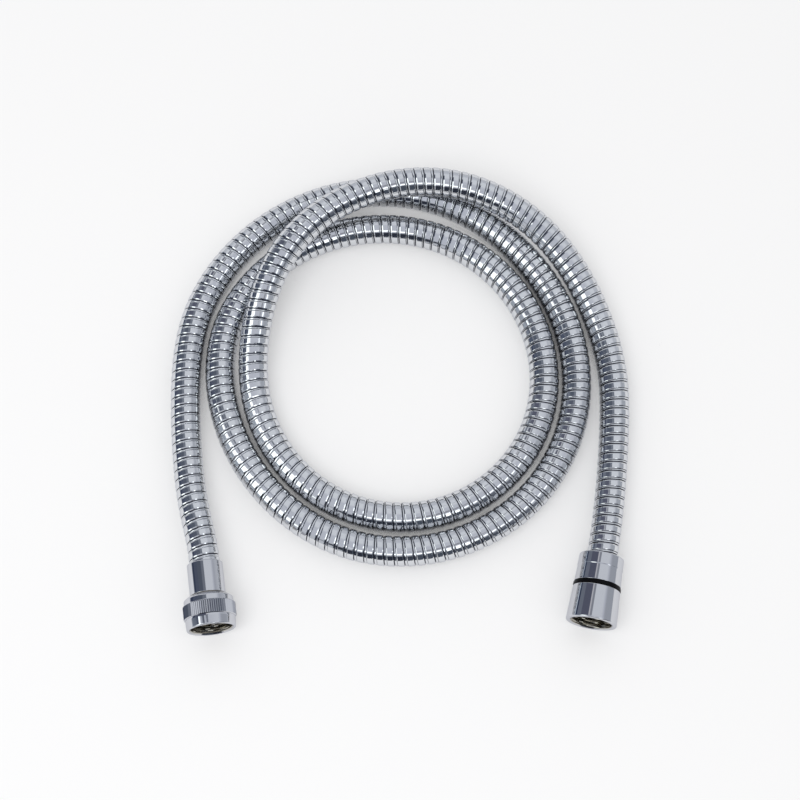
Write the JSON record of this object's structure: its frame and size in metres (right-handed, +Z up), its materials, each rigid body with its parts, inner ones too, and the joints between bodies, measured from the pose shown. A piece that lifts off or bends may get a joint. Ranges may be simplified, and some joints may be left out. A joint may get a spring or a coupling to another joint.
{
  "type": "metal shower hose",
  "caption": "Flexible metal shower hose lying in a flat coil, with a knurled swivel nut at the mixer end and a conical swivel fitting at the handset end.",
  "frame": {"origin": "on the floor under the middle of the two fittings' common box", "axes": "+X from the mixer's fitting to the handset's, -Y out of the fittings' mouths, +Z up; the hose lies in a coil on the floor at +Y"},
  "size_m": [0.2157, 0.2253, 0.0298],
  "materials": {
    "hose_strip": "bright chromed strip, wound and locked into itself",
    "chrome": "polished chrome plate on turned brass",
    "brass": "turned, bare",
    "spring_steel": "plain",
    "rubber": "matte black",
    "black_plastic": "satin black",
    "water_tube": "milky soft plastic"
  },
  "bodies": {
    "hose": {"metal_hose": "hose_strip", "water_tube": "water_tube", "mixer_ferrule": "chrome", "mixer_insert": "brass", "handset_collar": "chrome", "handset_insert": "brass", "black_ring": "black_plastic", "handset_o_ring": "rubber", "retaining_clip": "spring_steel"},
    "mixer_nut": {"mixer_nut": "chrome", "mixer_washer": "rubber"},
    "handset_sleeve": {"handset_sleeve": "chrome", "handset_washer": "rubber"}
  },
  "joints": [
    {"name": "nut_spin", "type": "hinge", "parent": "hose", "child": "mixer_nut", "pos_m": [-0.0891, 0.0033, 0.01151], "axis": [0.1424, -0.9879, 0.061], "continuous": true},
    {"name": "sleeve_spin", "type": "hinge", "parent": "hose", "child": "handset_sleeve", "pos_m": [0.0884, 0.0072, 0.0104], "axis": [-0.1974, -0.9789, 0.0523], "continuous": true}
  ]
}
